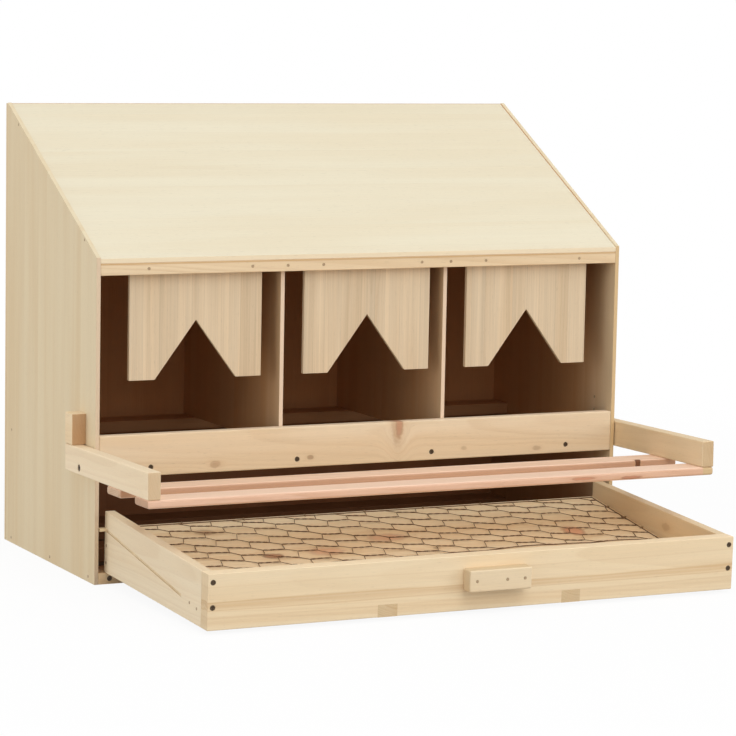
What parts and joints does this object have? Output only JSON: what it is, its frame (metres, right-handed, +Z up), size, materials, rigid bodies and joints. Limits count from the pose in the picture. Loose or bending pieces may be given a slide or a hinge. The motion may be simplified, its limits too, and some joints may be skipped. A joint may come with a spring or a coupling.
{
  "type": "chicken nesting box",
  "caption": "Wooden laying nest with a sloped roof, separate bays behind notched curtains, a folding perch and a sliding egg tray with a wire net.",
  "frame": {"origin": "on the ground, under the middle of the whole object with its tray drawn out", "axes": "+X runs along the front towards the right end, +Y points to the back panel, +Z up"},
  "size_m": [0.72, 0.6292, 0.5397],
  "materials": {
    "panel_wood": "bare softwood panel, planed",
    "board_wood": "bare softwood board, planed, with knots",
    "perch_wood": "bare softwood, planed, with rounded edges",
    "tray_wood": "bare softwood board, planed, with knots",
    "dark_screw": "black phosphated steel",
    "bright_nail": "bare steel",
    "net_wire": "galvanised wire, dulled"
  },
  "bodies": {
    "cabinet": {"left_side_panel": "panel_wood", "right_side_panel": "panel_wood", "roof_panel": "panel_wood", "back_panel": "panel_wood", "top_front_batten": "board_wood", "lip_board": "board_wood", "lip_rail": "board_wood", "back_rail": "board_wood", "partition_left": "panel_wood", "partition_right": "panel_wood", "bottom_front_batten": "board_wood", "bottom_middle_batten": "board_wood", "bottom_rear_batten": "board_wood", "curtain_left": "panel_wood", "curtain_middle": "panel_wood", "curtain_right": "panel_wood", "stop_block_left": "board_wood", "stop_block_right": "board_wood", "side_nails": "bright_nail", "batten_nails": "bright_nail", "back_nails": "bright_nail", "block_nails": "bright_nail", "lip_screws": "dark_screw", "batten_screws": "dark_screw", "pivot_screws": "dark_screw"},
    "perch": {"perch_arm_left": "perch_wood", "perch_arm_right": "perch_wood", "perch_slat_front": "perch_wood", "perch_slat_rear": "perch_wood", "slat_screws": "dark_screw"},
    "tray": {"tray_front_board": "tray_wood", "tray_side_left": "tray_wood", "tray_side_right": "tray_wood", "tray_floor": "tray_wood", "tray_rear_board": "tray_wood", "tray_runner_left": "tray_wood", "tray_runner_right": "tray_wood", "tray_handle": "tray_wood", "wire_net": "net_wire", "net_staples": "bright_nail", "corner_screws": "dark_screw", "floor_nails": "bright_nail", "rear_board_nails": "bright_nail", "handle_nails": "bright_nail"}
  },
  "joints": [
    {"name": "perch_fold", "type": "hinge", "parent": "cabinet", "child": "perch", "pos_m": [0, 0.00961, 0.136], "axis": [-1, 0, 0], "range_deg": [0, 89]},
    {"name": "tray_slide", "type": "slide", "parent": "cabinet", "child": "tray", "axis": [0, 0.9996, 0.0291], "range_m": [0, 0.299]}
  ]
}
